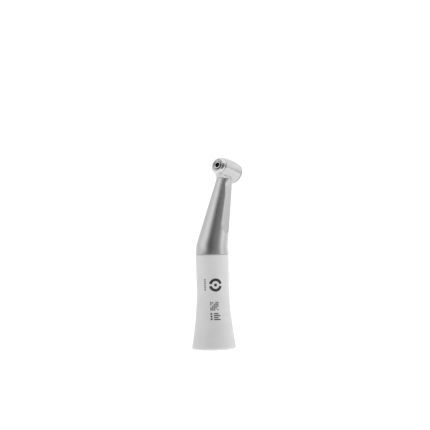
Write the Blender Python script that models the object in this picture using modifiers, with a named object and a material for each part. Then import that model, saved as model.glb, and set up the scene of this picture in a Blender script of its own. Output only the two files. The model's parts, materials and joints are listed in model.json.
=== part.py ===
"""A contra angle dental handpiece, as an assembly of separate sub-parts at real size.

Three straight axes carry it. The handle runs up +Z from the rear face, which is at Z = 0.
The neck leaves the bend at an angle to the handle, leaning towards +X. The head lies square
across the top of the neck: the bur leaves it towards -X, and the push button faces +X.
Lengths are written in millimetres and turned into metres where objects are made.
"""

import math

import bmesh
import bpy
from mathutils import Matrix, Vector

MM = 0.001

# Driving dimensions, in millimetres and degrees
BEND_ANGLE = 18.4  # between the handle's axis and the neck's axis
BEND_HEIGHT = 46.5  # of the point where those axes cross
HEAD_RISE = 37.2  # from that point to the head's axis, along the neck
WAIST_R = 7.36  # the grip sleeve at its waist
FLARE_TOP = 27.0  # height where the sleeve starts to widen
FLARE_GROWTH = 2.9  # how much wider it is at the rear face
FLARE_POWER = 1.7
SLEEVE_TOP = 43.1
REAR_CORNER = 1.0  # rounding of the sleeve's rear edge
COLLAR_R = 7.5  # metal sheath where it meets the grip sleeve
BEND_R = 7.15  # metal sheath at the bend
NECK_TAPER = 0.109  # radius lost per millimetre of neck
SHEATH_WALL = 0.45
SHEATH_TOP = 32.0  # end of the metal sheath along the neck
FLANK_HALF_ANGLE = 29.5  # of each side window in the sheath, seen from the neck's axis
FLANK_FLARE = 17.0  # how much wider that angle is at the sheath's top
FLANK_FLARE_FROM = 24.0  # height up the neck where the window starts to widen
FLANK_ROUND_Z = 10.0  # centre of the window's round end
HEAD_FRONT = -5.45  # ends of the head's shell along the head's axis
HEAD_REAR = 5.2
HEAD_FRONT_R = 3.95
HEAD_REAR_R = 5.0
HEAD_SHOULDERS = ((5.0, 1.0), (4.66, -2.0), (4.2, -4.8))  # where the shell narrows to its front
NOSE_FACE = -6.8
NOSE_R = 3.9
NOSE_FACE_R = 2.85  # of the nose ring's flat face
BUTTON_APEX = 7.5
BUR_BORE_R = 1.2  # takes a 2.35 mm bur shank
SOCKET_R = 6.35  # takes the motor's nose
SEAM = 0.08  # gap between pieces that seat on each other
SHELL_STEPS = 40
BODY_STEPS = 28
SMALL_STEPS = 24
RACE_STEPS = 20

BEND_TEETH = 16
BEND_PITCH_R = 4.0
HEAD_TEETH = 13
HEAD_PITCH_R = 2.6
GEAR_ADDENDUM = 0.26
GEAR_DEDENDUM = 0.38
TOOTH_SHARE = 0.40  # of the pitch that a tooth fills at the pitch line
FLANK_SLOPE = math.tan(math.radians(22.0))

# name: colour, roughness, metallic
FINISHES = {
    "white_grip": ((0.86, 0.86, 0.85, 1.0), 0.45, 0.0),
    "satin_head": ((0.83, 0.83, 0.83, 1.0), 0.38, 0.35),
    "brushed_neck": ((0.60, 0.61, 0.62, 1.0), 0.30, 1.0),
    "dark_steel": ((0.36, 0.36, 0.38, 1.0), 0.32, 1.0),
    "bright_steel": ((0.72, 0.72, 0.73, 1.0), 0.22, 1.0),
    "gear_steel": ((0.50, 0.49, 0.47, 1.0), 0.35, 1.0),
    "bronze": ((0.70, 0.48, 0.25, 1.0), 0.40, 1.0),
    "body_alloy": ((0.66, 0.66, 0.68, 1.0), 0.45, 1.0),
}

HANDLE = Matrix.Identity(4)
BEND = Matrix.Translation((0.0, 0.0, BEND_HEIGHT * MM))
NECK = BEND @ Matrix.Rotation(math.radians(BEND_ANGLE), 4, "Y")
HEAD_CENTRE = NECK @ Matrix.Translation((0.0, 0.0, HEAD_RISE * MM))
HEAD = HEAD_CENTRE @ Matrix.Rotation(math.radians(90.0), 4, "Y")
TURNED_OVER = Matrix.Rotation(math.pi, 4, "X")
FLANK_FRAME = NECK @ Matrix.Rotation(math.pi / 2, 4, "X")


def clear_scene():
    for obj in list(bpy.data.objects):
        bpy.data.objects.remove(obj)


def new_collection(name):
    collection = bpy.data.collections.new(name)
    bpy.context.scene.collection.children.link(collection)
    return collection


def make_materials():
    made = {}
    for name, (colour, roughness, metallic) in FINISHES.items():
        material = bpy.data.materials.new(name)
        material.use_nodes = True
        shader = material.node_tree.nodes["Principled BSDF"]
        shader.inputs["Base Color"].default_value = colour
        shader.inputs["Roughness"].default_value = roughness
        shader.inputs["Metallic"].default_value = metallic
        made[name] = material
    return made


clear_scene()
PARTS = new_collection("contra_angle_handpiece")
CUTTERS = new_collection("cutters")
MATERIALS = make_materials()


def place(name, mesh, frame, finish):
    """A new object for the mesh, shaded smooth. With no finish it is a cutter or other helper."""
    obj = bpy.data.objects.new(name, mesh)
    obj.matrix_world = frame
    if finish is None:
        CUTTERS.objects.link(obj)
        obj.hide_render = True
        obj.display_type = "WIRE"
    else:
        PARTS.objects.link(obj)
        mesh.materials.append(MATERIALS[finish])
    if mesh.polygons:
        mesh.shade_smooth()
        mesh.set_sharp_from_angle(angle=math.radians(35.0))
    return obj


def turned(name, outline, frame=HANDLE, finish=None, steps=SMALL_STEPS):
    """A turned piece. The outline is (radius, height) points that run down the outer side.

    Where it starts and ends on the axis it stays open there, and otherwise it is closed.
    """
    count = len(outline)
    edges = [(i, i + 1) for i in range(count - 1)]
    on_axis = outline[0][0] == 0.0 and outline[-1][0] == 0.0
    if not on_axis:
        edges.append((count - 1, 0))
    mesh = bpy.data.meshes.new(name)
    mesh.from_pydata([(r * MM, 0.0, z * MM) for r, z in outline], edges, [])
    obj = place(name, mesh, frame, finish)
    screw = obj.modifiers.new("Screw", "SCREW")
    screw.axis = "Z"
    screw.steps = steps
    screw.render_steps = steps
    screw.use_merge_vertices = True
    screw.merge_threshold = 1e-6
    screw.use_smooth_shade = True
    return obj


def combine(obj, operation, other):
    modifier = obj.modifiers.new(operation.title(), "BOOLEAN")
    modifier.operation = operation
    modifier.object = other
    modifier.solver = "EXACT"


def cylinder(name, radius, length, frame, finish=None, sides=16):
    mesh = bpy.data.meshes.new(name)
    shape = bmesh.new()
    bmesh.ops.create_cone(
        shape,
        cap_ends=True,
        segments=sides,
        radius1=radius * MM,
        radius2=radius * MM,
        depth=length * MM,
    )
    shape.to_mesh(mesh)
    shape.free()
    return place(name, mesh, frame, finish)


def box_cutter(name, size, centre, frame=HANDLE):
    mesh = bpy.data.meshes.new(name)
    shape = bmesh.new()
    bmesh.ops.create_cube(shape, size=1.0)
    bmesh.ops.scale(shape, vec=Vector(size) * MM, verts=shape.verts)
    bmesh.ops.translate(shape, vec=Vector(centre) * MM, verts=shape.verts)
    shape.to_mesh(mesh)
    shape.free()
    return place(name, mesh, frame, None)


def mesh_of_curve(curve, frame, name, finish):
    """The curve as a closed mesh object, with its caps welded. The curve goes."""
    bpy.context.scene.collection.objects.link(curve)
    curve.matrix_world = frame
    bpy.context.view_layer.update()
    graph = bpy.context.evaluated_depsgraph_get()
    mesh = bpy.data.meshes.new_from_object(curve.evaluated_get(graph))
    shape = bmesh.new()
    shape.from_mesh(mesh)
    bmesh.ops.remove_doubles(shape, verts=shape.verts, dist=1e-7)
    bmesh.ops.recalc_face_normals(shape, faces=shape.faces)
    shape.to_mesh(mesh)
    shape.free()
    mesh.name = name
    mesh.materials.clear()
    bpy.data.objects.remove(curve)
    return place(name, mesh, frame, finish)


def prism(name, outline, half_depth, frame, finish=None):
    """A flat outline of (x, y) points, thickened to both sides of its plane."""
    data = bpy.data.curves.new(name, "CURVE")
    data.dimensions = "2D"
    data.fill_mode = "BOTH"
    data.extrude = half_depth * MM
    spline = data.splines.new("POLY")
    spline.points.add(len(outline) - 1)
    for point, (x, y) in zip(spline.points, outline):
        point.co = (x * MM, y * MM, 0.0, 1.0)
    spline.use_cyclic_u = True
    return mesh_of_curve(bpy.data.objects.new(name, data), frame, name, finish)


def coil_spring(name, radius, wire_r, low, high, turns, frame, finish):
    """A helix between two heights of its wire's centre line."""
    points_per_turn = 10
    count = int(turns * points_per_turn) + 1
    data = bpy.data.curves.new(name, "CURVE")
    data.dimensions = "3D"
    data.bevel_depth = wire_r * MM
    data.bevel_resolution = 1
    data.use_fill_caps = True
    spline = data.splines.new("POLY")
    spline.points.add(count - 1)
    for i, point in enumerate(spline.points):
        turn = 2.0 * math.pi * i / points_per_turn
        height = low + (high - low) * i / (count - 1)
        x = radius * math.cos(turn)
        y = radius * math.sin(turn)
        point.co = (x * MM, y * MM, height * MM, 1.0)
    return mesh_of_curve(bpy.data.objects.new(name, data), frame, name, finish)


def arc(centre, radius, start, end, pieces):
    """Points on an arc, from one angle to another in degrees, both ends included."""
    points = []
    for i in range(pieces + 1):
        angle = math.radians(start + (end - start) * i / pieces)
        x = centre[0] + radius * math.cos(angle)
        y = centre[1] + radius * math.sin(angle)
        points.append((x, y))
    return points


def bridge(shape, first, second):
    """Quads between two rings of the same number of points."""
    count = len(first)
    for i in range(count):
        j = (i + 1) % count
        shape.faces.new((first[i], first[j], second[j], second[i]))


def bevel_gear(name, frame, teeth, pitch_r, cone_angle, face, tooth_at, back, hub, bore_r, finish):
    """A straight bevel gear whose pitch cone has its point at the frame's origin and opens to +Z.

    Every tooth narrows towards that point. tooth_at is the direction of one tooth's middle.
    back is (radius, height) of the blank's rear edge and hub is the same of the hub's end.
    """
    cone = math.radians(cone_angle)
    length = pitch_r / math.sin(cone)
    pitch = 2.0 * math.pi * pitch_r / teeth
    half_tooth = 0.5 * TOOTH_SHARE * pitch
    inner = (length - face) / length
    flank = [(level, half_tooth - level * FLANK_SLOPE) for level in (-GEAR_DEDENDUM, GEAR_ADDENDUM)]
    profile = [(level, -half) for level, half in flank]
    profile += [(level, half) for level, half in reversed(flank)]

    shape = bmesh.new()
    rings = [[] for _ in range(6)]
    for tooth in range(teeth):
        middle = math.radians(tooth_at) + 2.0 * math.pi * tooth / teeth
        for level, offset in profile:
            radius = pitch_r + level * math.cos(cone)
            height = length * math.cos(cone) - level * math.sin(cone)
            angle = middle + offset / pitch_r
            way = Vector((math.cos(angle), math.sin(angle), 0.0))
            outer_point = way * radius + Vector((0.0, 0.0, height))
            floor = Vector((0.0, 0.0, inner * (height + level * math.sin(cone)) + GEAR_DEDENDUM))
            rings[0].append(shape.verts.new(outer_point * MM))
            rings[1].append(shape.verts.new(outer_point * inner * MM))
            rings[2].append(shape.verts.new((way * bore_r + floor) * MM))
            rings[3].append(shape.verts.new((way * bore_r + Vector((0, 0, hub[1]))) * MM))
            rings[4].append(shape.verts.new((way * hub[0] + Vector((0, 0, hub[1]))) * MM))
            rings[5].append(shape.verts.new((way * back[0] + Vector((0, 0, back[1]))) * MM))
    for i in range(6):
        bridge(shape, rings[i], rings[(i + 1) % 6])
    bmesh.ops.recalc_face_normals(shape, faces=shape.faces)
    bmesh.ops.triangulate(shape, faces=shape.faces)
    mesh = bpy.data.meshes.new(name)
    shape.to_mesh(mesh)
    shape.free()
    return place(name, mesh, frame, finish)


def ball_bearing(name, frame, low, width, bore_r, outer_r, ball_r, balls):
    """An inner race, an outer race, and the balls with their cage as one piece."""
    middle = low + width / 2.0
    high = low + width
    mean_r = (bore_r + outer_r) / 2.0
    groove = ball_r + 0.09
    shoulder = 0.72 * ball_r
    inner_race_r = mean_r - shoulder
    outer_race_r = mean_r + shoulder
    half_groove = math.sqrt(groove**2 - shoulder**2)
    inner = [
        (inner_race_r, high),
        (inner_race_r, middle + half_groove),
        (mean_r - groove, middle),
        (inner_race_r, middle - half_groove),
        (inner_race_r, low),
        (bore_r, low),
        (bore_r, high),
    ]
    outer = [
        (outer_r, high),
        (outer_r, low),
        (outer_race_r, low),
        (outer_race_r, middle - half_groove),
        (mean_r + groove, middle),
        (outer_race_r, middle + half_groove),
        (outer_race_r, high),
    ]
    turned(name + "_inner_race", inner, frame, "bright_steel", RACE_STEPS)
    turned(name + "_outer_race", outer, frame, "bright_steel", RACE_STEPS)

    balls_mesh = bpy.data.meshes.new(name + "_balls")
    shape = bmesh.new()
    for i in range(balls):
        angle = 2.0 * math.pi * i / balls
        centre = Vector((mean_r * math.cos(angle), mean_r * math.sin(angle), middle)) * MM
        bmesh.ops.create_icosphere(
            shape, subdivisions=2, radius=ball_r * MM, matrix=Matrix.Translation(centre)
        )
    shape.to_mesh(balls_mesh)
    shape.free()
    loose_balls = place(name + "_balls", balls_mesh, frame, None)
    half_cage = 0.35 * ball_r
    cage = [
        (mean_r + 0.12, middle + half_cage),
        (mean_r + 0.12, middle - half_cage),
        (mean_r - 0.12, middle - half_cage),
        (mean_r - 0.12, middle + half_cage),
    ]
    joined = turned(name + "_balls_in_cage", cage, frame, "gear_steel", 2 * balls)
    combine(joined, "UNION", loose_balls)


def sleeve_radius(height):
    """Outer radius of the grip sleeve: a straight waist, then a flare towards the rear."""
    flare = max(0.0, (FLARE_TOP - height) / FLARE_TOP)
    return WAIST_R + FLARE_GROWTH * flare**FLARE_POWER


def neck_radius(height):
    """Outer radius of the metal sheath, at a height above the bend along the neck."""
    return BEND_R - NECK_TAPER * height


def core_radius(height):
    """Outer radius of the head's neck tube where the sheath covers it."""
    return neck_radius(height) - SHEATH_WALL - SEAM


def make_grip_sleeve():
    heights = [FLARE_TOP, 22.5, 18.0, 14.0, 10.0, 6.0, 3.0, REAR_CORNER]
    outline = [(COLLAR_R - 0.25, SLEEVE_TOP), (COLLAR_R - 0.08, SLEEVE_TOP - 0.2)]
    outline += [(sleeve_radius(z), z) for z in heights]
    corner_r = sleeve_radius(REAR_CORNER) - REAR_CORNER
    outline += arc((corner_r, REAR_CORNER), REAR_CORNER, -22.5, -90.0, 3)
    outline += [
        (SOCKET_R + 1.55, 0.0),
        (SOCKET_R + 0.7, 0.85),
        (SOCKET_R + 0.7, 23.6),
        (6.75, 23.9),
        (6.75, 41.2),
        (6.3, 41.5),
        (6.3, SLEEVE_TOP),
    ]
    turned("grip_sleeve", outline, finish="white_grip", steps=SHELL_STEPS)


def make_coupling_socket():
    wall = SOCKET_R + 0.62
    outline = [
        (wall, 23.0),
        (wall, 1.2),
        (wall - 0.25, 0.95),
        (SOCKET_R + 0.15, 0.95),
        (SOCKET_R, 1.2),
        (SOCKET_R, 16.5),
        (SOCKET_R + 0.3, 16.8),
        (SOCKET_R + 0.3, 17.5),
        (SOCKET_R, 17.8),
        (SOCKET_R, 22.0),
        (3.4, 22.0),
        (3.4, 23.0),
    ]
    turned("coupling_socket", outline, finish="bright_steel", steps=BODY_STEPS)


def make_inner_body():
    outline = [
        (6.2, 45.2),
        (6.2, 41.35),
        (6.64, 41.0),
        (6.64, 24.1),
        (4.9, 24.1),
        (4.9, 27.0),
        (3.6, 27.0),
        (3.6, 31.0),
        (3.2, 31.0),
        (3.2, 40.4),
        (4.6, 40.4),
        (4.6, 45.2),
    ]
    turned("inner_body", outline, finish="body_alloy", steps=BODY_STEPS)


def make_drive_bush():
    """The bronze bush at the rear of the drive shaft, and the threaded ring that holds it."""
    bush = [
        (3.54, 30.9),
        (3.54, 26.93),
        (4.8, 26.93),
        (4.8, 26.1),
        (2.07, 26.1),
        (2.07, 30.9),
    ]
    turned("drive_bush", bush, finish="bronze")
    nut = [(4.82, 26.03), (4.82, 24.5), (3.3, 24.5), (3.3, 26.03)]
    turned("bush_nut", nut, finish="body_alloy")


def make_drive_shaft():
    pin_height = 21.3
    shaft = [
        (0.0, 45.0),
        (1.4, 45.0),
        (1.4, 43.3),
        (1.95, 43.2),
        (1.95, 40.5),
        (2.6, 40.5),
        (2.6, 39.6),
        (1.98, 39.6),
        (1.98, 25.9),
        (1.45, 25.9),
        (1.45, 19.9),
        (1.2, 19.6),
        (0.0, 19.6),
    ]
    drive_shaft = turned("drive_shaft", shaft, finish="bright_steel")
    across = Matrix.Translation((0, 0, pin_height * MM)) @ Matrix.Rotation(math.pi / 2, 4, "X")
    pin_hole = cylinder("pin_hole_cutter", 0.46, 5.0, across)
    combine(drive_shaft, "DIFFERENCE", pin_hole)
    cylinder("dog_pin", 0.4, 4.7, across, "bright_steel", sides=12)

    dog = [
        (2.6, 22.3),
        (2.6, 17.9),
        (2.35, 17.6),
        (1.53, 17.6),
        (1.53, 22.6),
        (2.3, 22.6),
    ]
    drive_dog = turned("drive_dog", dog, finish="gear_steel")
    claw_gap = box_cutter("claw_gap_cutter", (1.9, 8.0, 2.8), (0.0, 0.0, 18.0))
    combine(drive_dog, "DIFFERENCE", claw_gap)
    pin_slot = box_cutter("pin_slot_cutter", (0.96, 8.0, 2.0), (0.0, 0.0, 20.85))
    combine(drive_dog, "DIFFERENCE", pin_slot)
    coil_spring("dog_spring", 1.85, 0.13, 22.77, 25.73, 3.5, HANDLE, "bright_steel")


def make_drive_bearing():
    ball_bearing("drive_bearing", HANDLE, 40.5, 2.5, 2.0, 4.54, 0.75, 7)
    ring = [(4.54, 43.8), (4.54, 43.1), (3.0, 43.1), (3.0, 43.8)]
    turned("bearing_lock_ring", ring, finish="body_alloy")


def make_bend_gears():
    """Two equal, nearly flat bevel gears that mesh on the inner side of the bend."""
    cone_angle = (180.0 - BEND_ANGLE) / 2.0
    back = (BEND_PITCH_R, 1.75)
    hub = (2.3, 2.4)
    half_pitch = 180.0 / BEND_TEETH
    sizes = (BEND_TEETH, BEND_PITCH_R, cone_angle, 1.1)
    bevel_gear("drive_gear", BEND @ TURNED_OVER, *sizes, 0.0, back, hub, 1.45, "gear_steel")
    bevel_gear("neck_gear", NECK, *sizes, half_pitch, back, hub, 1.45, "gear_steel")


def sheath_ring(shape, radius, centre, tilt, stretch):
    """A circle of points round the centre, tilted about Y, and stretched across the tilt."""
    turn = Matrix.Rotation(math.radians(tilt), 4, "Y")
    size = Matrix.Diagonal((stretch, 1.0, 1.0, 1.0))
    made = bmesh.ops.create_circle(
        shape,
        segments=SHELL_STEPS,
        radius=radius * MM,
        matrix=Matrix.Translation(centre) @ turn @ size,
    )
    return made["verts"]


def make_neck_sheath():
    """A bent metal sleeve: a collar round the handle's axis, a mitre, and a cone up the neck."""
    mitre_stretch = 1.0 / math.cos(math.radians(BEND_ANGLE / 2.0))
    shape = bmesh.new()
    rings = [
        sheath_ring(shape, COLLAR_R, (0, 0, (SLEEVE_TOP + SEAM) * MM), 0.0, 1.0),
        sheath_ring(shape, BEND_R, BEND.translation, BEND_ANGLE / 2.0, mitre_stretch),
    ]
    for height in (2.6, 17.0, SHEATH_TOP):
        centre = NECK @ Vector((0, 0, height * MM))
        rings.append(sheath_ring(shape, neck_radius(height), centre, BEND_ANGLE, 1.0))
    for low, high in zip(rings, rings[1:]):
        bridge(shape, low, high)
    bmesh.ops.recalc_face_normals(shape, faces=shape.faces)
    mesh = bpy.data.meshes.new("neck_sheath")
    shape.to_mesh(mesh)
    shape.free()
    sheath = place("neck_sheath", mesh, HANDLE, "brushed_neck")
    wall = sheath.modifiers.new("Solidify", "SOLIDIFY")
    wall.thickness = SHEATH_WALL * MM
    wall.offset = -1.0
    window = prism("flank_window_cutter", flank_outline(0.0), 12.0, FLANK_FRAME)
    combine(sheath, "DIFFERENCE", window)


def flank_half_width(height):
    """Half the window's width, seen from the side, at a height up the neck."""
    flare = max(0.0, (height - FLANK_FLARE_FROM) / (SHEATH_TOP - FLANK_FLARE_FROM))
    angle = math.radians(FLANK_HALF_ANGLE + FLANK_FLARE * flare)
    return math.sin(angle) * neck_radius(height)


def flank_outline(inset):
    """The side window seen from the side: a round end low on the neck, and open at the top.

    In its own plane, x is across the neck and y is up it.
    """
    round_r = flank_half_width(FLANK_ROUND_Z) - inset
    heights = (FLANK_FLARE_FROM, 28.0, SHEATH_TOP, SHEATH_TOP + 1.5)
    edge = [(flank_half_width(min(z, SHEATH_TOP)) - inset, z) for z in heights]
    outline = arc((0.0, FLANK_ROUND_Z), round_r, 180.0, 360.0, 12)
    return outline + edge + [(-x, z) for x, z in reversed(edge)]


def throat_blank():
    """The swell that carries the front of the neck up to the front edge of the head's shell."""
    # height up the neck, forward shift, half length and half width of each oval
    ovals = [
        (32.3, 0.0, 3.6, 3.6),
        (32.8, 0.45, 4.05, 3.6),
        (33.4, 0.85, 4.5, 3.3),
        (34.0, 0.95, 4.45, 2.7),
    ]
    shape = bmesh.new()
    rings = []
    for height, forward, half_length, half_width in ovals:
        size = Matrix.Diagonal((half_length, half_width, 1.0, 1.0))
        made = bmesh.ops.create_circle(
            shape,
            segments=SHELL_STEPS,
            radius=MM,
            cap_ends=height in (ovals[0][0], ovals[-1][0]),
            matrix=Matrix.Translation((-forward * MM, 0.0, height * MM)) @ size,
        )
        rings.append(made["verts"])
    for low, high in zip(rings, rings[1:]):
        bridge(shape, low, high)
    bmesh.ops.recalc_face_normals(shape, faces=shape.faces)
    mesh = bpy.data.meshes.new("throat_blank")
    shape.to_mesh(mesh)
    shape.free()
    return place("throat_blank", mesh, NECK, None)


def make_head_housing():
    """The head's shell with its neck tube, and the flanks that fill the sheath's windows."""
    shell = [
        (0.0, HEAD_REAR),
        (HEAD_REAR_R, HEAD_REAR),
        *HEAD_SHOULDERS,
        (HEAD_FRONT_R, HEAD_FRONT),
        (0.0, HEAD_FRONT),
    ]
    housing = turned("head_housing", shell, HEAD, "satin_head", SHELL_STEPS)

    tube_top = HEAD_RISE
    step = SHEATH_TOP + SEAM
    tube = [
        (0.0, tube_top),
        (neck_radius(SHEATH_TOP), tube_top),
        (neck_radius(SHEATH_TOP), step),
        (core_radius(step), step),
        (core_radius(2.9), 2.9),
        (0.0, 2.9),
    ]
    combine(housing, "UNION", turned("neck_tube_blank", tube, NECK, steps=SHELL_STEPS))
    combine(housing, "UNION", throat_blank())

    low = 6.2
    high = step + 0.4
    flanks = [
        (neck_radius(high), high),
        (neck_radius(low), low),
        (core_radius(low) - 0.4, low),
        (core_radius(high) - 0.4, high),
    ]
    flank_ring = turned("flank_blank", flanks, NECK, steps=SHELL_STEPS)
    outline = prism("flank_outline", flank_outline(SEAM), 12.0, FLANK_FRAME)
    combine(flank_ring, "INTERSECT", outline)
    combine(housing, "UNION", flank_ring)

    head_bore = [
        (0.0, HEAD_REAR + 1.0),
        (3.72, HEAD_REAR + 1.0),
        (3.72, 2.9),
        (3.45, 2.9),
        (3.45, -3.1),
        (3.23, -3.1),
        (3.23, HEAD_FRONT - 1.0),
        (0.0, HEAD_FRONT - 1.0),
    ]
    combine(housing, "DIFFERENCE", turned("head_bore_cutter", head_bore, HEAD, steps=BODY_STEPS))
    neck_bore = [
        (0.0, HEAD_RISE),
        (3.05, HEAD_RISE),
        (3.05, 28.2),
        (2.6, 28.2),
        (2.6, 26.0),
        (4.9, 9.0),
        (4.9, 1.9),
        (0.0, 1.9),
    ]
    combine(housing, "DIFFERENCE", turned("neck_bore_cutter", neck_bore, NECK, steps=BODY_STEPS))


def make_collar_pieces():
    """What seats the sheath on the inner body, and the bush at the rear of the neck shaft."""
    ring = [(6.7, 44.3), (6.7, 43.4), (6.25, 43.4), (6.25, 44.3)]
    turned("sheath_lock_ring", ring, finish="body_alloy", steps=BODY_STEPS)
    holder = [(4.84, 7.4), (4.84, 3.1), (3.05, 3.1), (3.05, 7.4)]
    turned("neck_bush_holder", holder, NECK, "body_alloy")
    bush = [(3.0, 7.3), (3.0, 3.2), (1.56, 3.2), (1.56, 7.3)]
    turned("neck_bush", bush, NECK, "bronze")


def make_neck_drive():
    shaft = [
        (0.0, 35.1),
        (1.1, 35.1),
        (1.1, 33.2),
        (1.46, 33.1),
        (1.46, 2.6),
        (1.4, 2.5),
        (1.4, 1.5),
        (0.0, 1.5),
    ]
    turned("neck_shaft", shaft, NECK, "bright_steel")
    ball_bearing("neck_bearing", NECK, 28.3, 2.5, 1.5, 3.0, 0.45, 7)
    ring = [(2.99, 31.8), (2.99, 30.9), (2.1, 30.9), (2.1, 31.8)]
    turned("neck_lock_ring", ring, NECK, "body_alloy")


def make_head_gears():
    """Two equal bevel gears that turn the drive through the right angle in the head."""
    sizes = (HEAD_TEETH, HEAD_PITCH_R, 45.0, 1.1)
    half_pitch = 180.0 / HEAD_TEETH
    back = (HEAD_PITCH_R - 0.2, 3.1)
    pinion_frame = HEAD_CENTRE @ TURNED_OVER
    bevel_gear("head_pinion", pinion_frame, *sizes, 180.0, back, (1.8, 3.9), 1.15, "gear_steel")
    gear_frame = HEAD @ TURNED_OVER
    hub = (HEAD_PITCH_R - 0.3, 3.12)
    bevel_gear("chuck_gear", gear_frame, *sizes, half_pitch, back, hub, 1.6, "gear_steel")


def make_chuck():
    spindle = [
        (1.55, 5.3),
        (1.55, NOSE_FACE - 0.1),
        (1.45, NOSE_FACE - 0.2),
        (BUR_BORE_R + 0.1, NOSE_FACE - 0.2),
        (BUR_BORE_R, NOSE_FACE - 0.1),
        (BUR_BORE_R, 4.5),
        (0.75, 4.6),
        (0.75, 5.3),
    ]
    turned("chuck_spindle", spindle, HEAD, "bright_steel")
    ball_bearing("front_bearing", HEAD, -5.58, 2.38, 1.59, 3.175, 0.5, 7)
    ball_bearing("rear_bearing", HEAD, 3.0, 2.38, 1.59, 3.175, 0.5, 7)

    clamp = [(1.15, 3.9), (1.15, 0.8), (0.85, 0.8), (0.85, 3.9)]
    bur_clamp = turned("bur_clamp", clamp, HEAD, "gear_steel", steps=16)
    slot = box_cutter("clamp_slot_cutter", (0.5, 4.0, 4.0), (0.0, 0.0, 0.9), HEAD)
    combine(bur_clamp, "DIFFERENCE", slot)


def make_nose_ring():
    outline = [
        (NOSE_R, HEAD_FRONT - SEAM),
        (NOSE_R - 0.28, NOSE_FACE + 0.6),
        (NOSE_FACE_R, NOSE_FACE),
        (2.35, NOSE_FACE),
        (1.75, NOSE_FACE + 0.45),
        (1.75, -5.68),
        (3.22, -5.68),
        (3.22, HEAD_FRONT - SEAM),
    ]
    turned("nose_ring", outline, HEAD, "dark_steel", BODY_STEPS)


def make_button_end():
    holder = [(3.66, 5.15), (3.66, 3.0), (3.24, 3.0), (3.24, 5.15)]
    turned("rear_bearing_holder", holder, HEAD, "body_alloy", BODY_STEPS)
    washer = [(3.15, 5.57), (3.15, 5.43), (1.8, 5.43), (1.8, 5.57)]
    turned("spring_washer", washer, HEAD, "bright_steel")
    coil_spring("button_spring", 2.4, 0.1, 5.69, 6.33, 1.75, HEAD, "bright_steel")

    cap = [
        (3.4, 6.95),
        (3.75, 6.9),
        (4.3, 6.6),
        (4.75, 6.1),
        (4.95, 5.6),
        (HEAD_REAR_R, HEAD_REAR + SEAM),
        (3.85, HEAD_REAR + SEAM),
        (3.85, 6.5),
        (3.4, 6.6),
    ]
    turned("head_cap", cap, HEAD, "satin_head", SHELL_STEPS)

    dome_r = 5.4
    dome_base = 3.28
    dome = [(0.0, BUTTON_APEX)]
    for i in range(1, 5):
        radius = dome_base * i / 4
        dome.append((radius, BUTTON_APEX - radius**2 / (2.0 * dome_r)))
    button = dome + [
        (dome_base, 6.42),
        (3.75, 6.36),
        (3.75, 6.1),
        (2.95, 6.1),
        (2.95, 6.45),
        (1.9, 6.45),
        (1.9, 6.1),
        (1.35, 6.1),
        (1.35, 6.95),
        (0.0, 6.95),
    ]
    turned("push_button", button, HEAD, "satin_head", BODY_STEPS)
    plunger = [
        (0.0, 6.87),
        (1.25, 6.87),
        (1.25, 6.45),
        (0.6, 6.45),
        (0.6, 4.7),
        (0.5, 4.55),
        (0.0, 4.55),
    ]
    turned("release_plunger", plunger, HEAD, "bright_steel", steps=16)


def main():
    make_grip_sleeve()
    make_coupling_socket()
    make_inner_body()
    make_drive_bush()
    make_drive_shaft()
    make_drive_bearing()
    make_bend_gears()
    make_neck_sheath()
    make_head_housing()
    make_collar_pieces()
    make_neck_drive()
    make_head_gears()
    make_chuck()
    make_nose_ring()
    make_button_end()


main()
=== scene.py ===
"""Looks for the contra angle handpiece: finer visible shells, materials, light and camera.

Three straight axes carry the shapes. The handle runs up +Z, the neck leaves the bend at an
angle to it, and the head lies square across the top of the neck. Outlines are written in
millimetres, as (radius, height) along one of those axes, and made into metres in the meshes.
The order is mesh helpers, materials, the pieces from the grip to the head, and the studio.
"""

import json
import math

import bmesh
import bpy
from mathutils import Matrix, Vector


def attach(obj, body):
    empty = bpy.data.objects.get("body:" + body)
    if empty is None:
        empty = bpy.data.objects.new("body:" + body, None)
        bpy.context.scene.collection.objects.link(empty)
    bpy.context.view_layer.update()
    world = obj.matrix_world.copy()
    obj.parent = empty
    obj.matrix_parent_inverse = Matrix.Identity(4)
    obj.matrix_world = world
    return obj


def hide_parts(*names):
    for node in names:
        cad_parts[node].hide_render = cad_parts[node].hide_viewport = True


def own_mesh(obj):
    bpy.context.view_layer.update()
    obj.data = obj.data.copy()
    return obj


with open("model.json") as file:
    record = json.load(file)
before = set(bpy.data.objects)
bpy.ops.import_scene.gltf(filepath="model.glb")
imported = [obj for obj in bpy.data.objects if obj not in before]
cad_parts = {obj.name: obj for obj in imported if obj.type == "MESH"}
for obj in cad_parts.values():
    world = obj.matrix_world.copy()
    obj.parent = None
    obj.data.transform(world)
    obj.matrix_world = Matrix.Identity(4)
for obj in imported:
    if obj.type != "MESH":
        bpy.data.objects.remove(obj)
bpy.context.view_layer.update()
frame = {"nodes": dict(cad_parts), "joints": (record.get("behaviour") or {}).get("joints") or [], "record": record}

MM = 0.001
JOINTS = {joint["name"]: joint for joint in frame["joints"]}
NECK_DIRECTION = Vector(JOINTS["neck_spin"]["axis"])
BEND_POINT = Vector(JOINTS["neck_spin"]["pos_m"])
HEAD_POINT = Vector(JOINTS["chuck_spin"]["pos_m"])
BEND_ANGLE = math.atan2(NECK_DIRECTION.x, NECK_DIRECTION.z)
HEAD_RISE = (HEAD_POINT - BEND_POINT).length / MM

# Frames of the three axes: local +Z is up the handle, up the neck, and towards the button
HANDLE = Matrix.Identity(4)
NECK = Matrix.Translation(BEND_POINT) @ Matrix.Rotation(BEND_ANGLE, 4, "Y")
HEAD = Matrix.Translation(HEAD_POINT) @ Matrix.Rotation(BEND_ANGLE + math.pi / 2, 4, "Y")

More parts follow.
